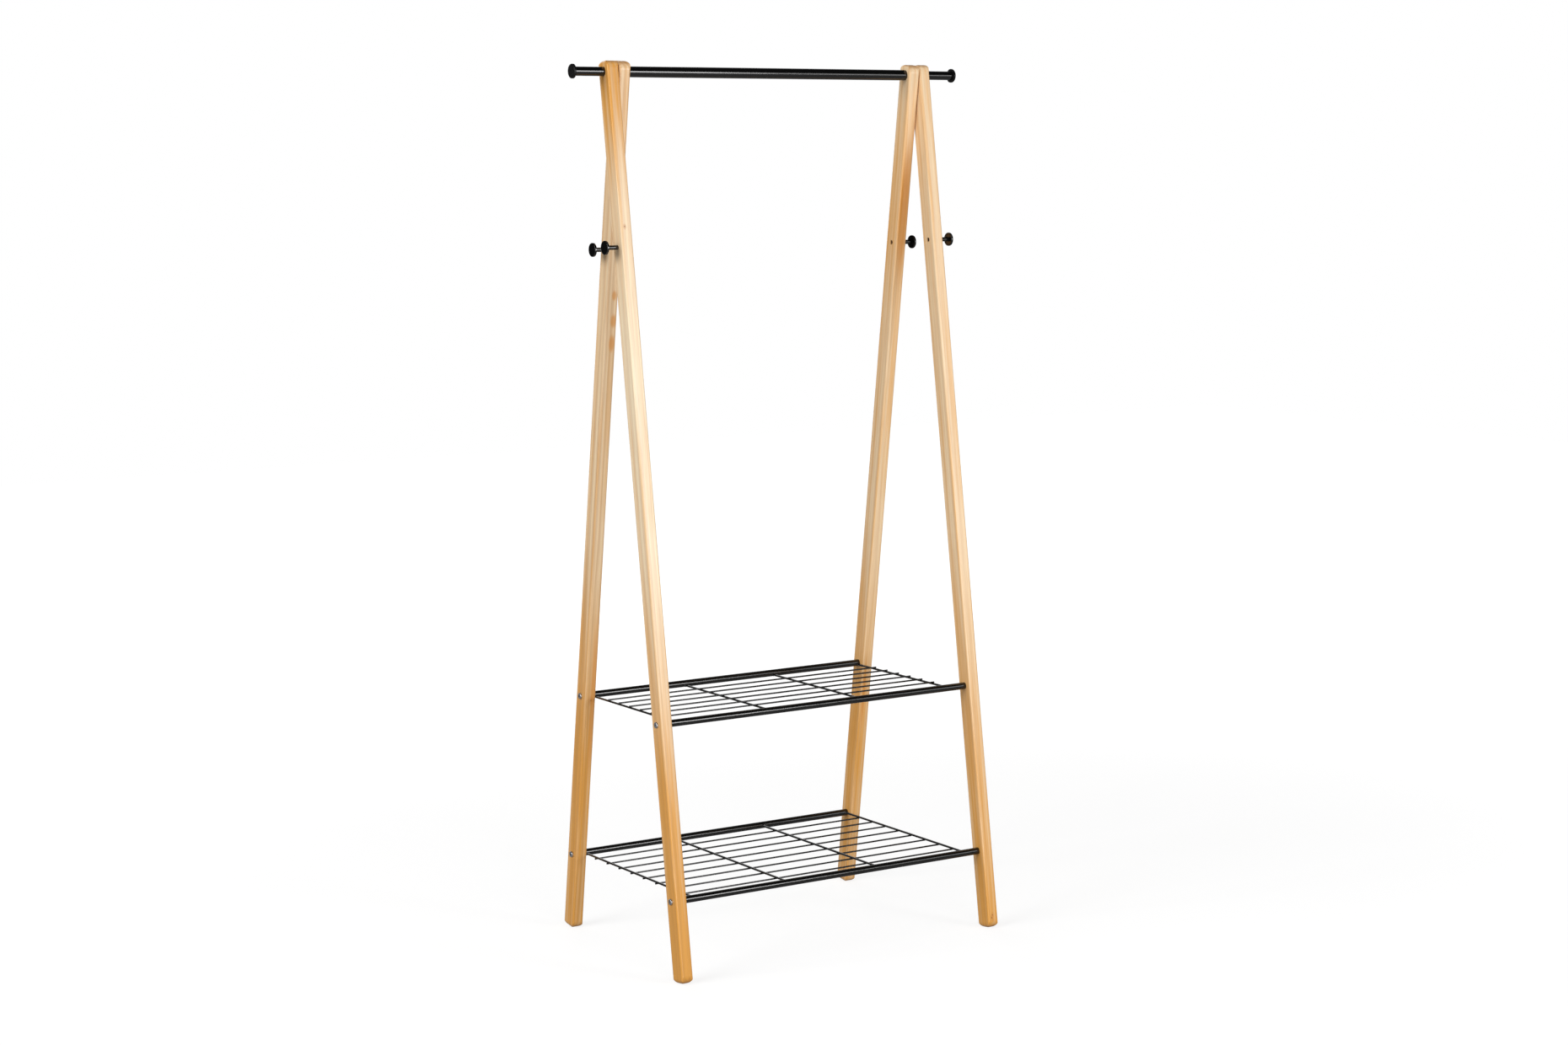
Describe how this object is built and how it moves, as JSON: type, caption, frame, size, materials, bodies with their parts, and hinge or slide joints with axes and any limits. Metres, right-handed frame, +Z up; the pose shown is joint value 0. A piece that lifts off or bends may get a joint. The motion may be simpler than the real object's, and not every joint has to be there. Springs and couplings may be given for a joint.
{
  "type": "clothes rack",
  "caption": "Free-standing A-frame clothes rack with pine legs crossed on a black steel hanging rail, coat pegs on the legs and two black wire shelves.",
  "frame": {"origin": "on the floor, straight below the middle of the hanging rail", "axes": "+Z up, +X along the rail to the right as seen from the front, +Y to the back"},
  "size_m": [0.8, 0.4646, 1.5728],
  "materials": {
    "pine": "clear satin lacquer on planed pine",
    "black_coated_steel": "semi-gloss black powder coat",
    "black_plastic": "moulded black, low sheen",
    "zinc_plated_steel": "bright zinc plate"
  },
  "bodies": {
    "root": {"front_left_leg": "pine", "front_right_leg": "pine", "back_left_leg": "pine", "back_right_leg": "pine", "rail_rod": "black_coated_steel", "rail_sleeve": "black_coated_steel", "upper_front_tube": "black_coated_steel", "upper_back_tube": "black_coated_steel", "lower_front_tube": "black_coated_steel", "lower_back_tube": "black_coated_steel", "upper_cross_wires": "black_coated_steel", "upper_long_wires": "black_coated_steel", "lower_cross_wires": "black_coated_steel", "lower_long_wires": "black_coated_steel", "front_left_peg": "black_coated_steel", "front_right_peg": "black_coated_steel", "back_left_peg": "black_coated_steel", "back_right_peg": "black_coated_steel", "left_rail_cap": "black_plastic", "right_rail_cap": "black_plastic", "left_leg_washer": "black_plastic", "right_leg_washer": "black_plastic", "peg_screws": "zinc_plated_steel", "upper_tube_inserts": "zinc_plated_steel", "lower_tube_inserts": "zinc_plated_steel", "upper_shelf_bolts": "zinc_plated_steel", "lower_shelf_bolts": "zinc_plated_steel"}
  },
  "joints": []
}
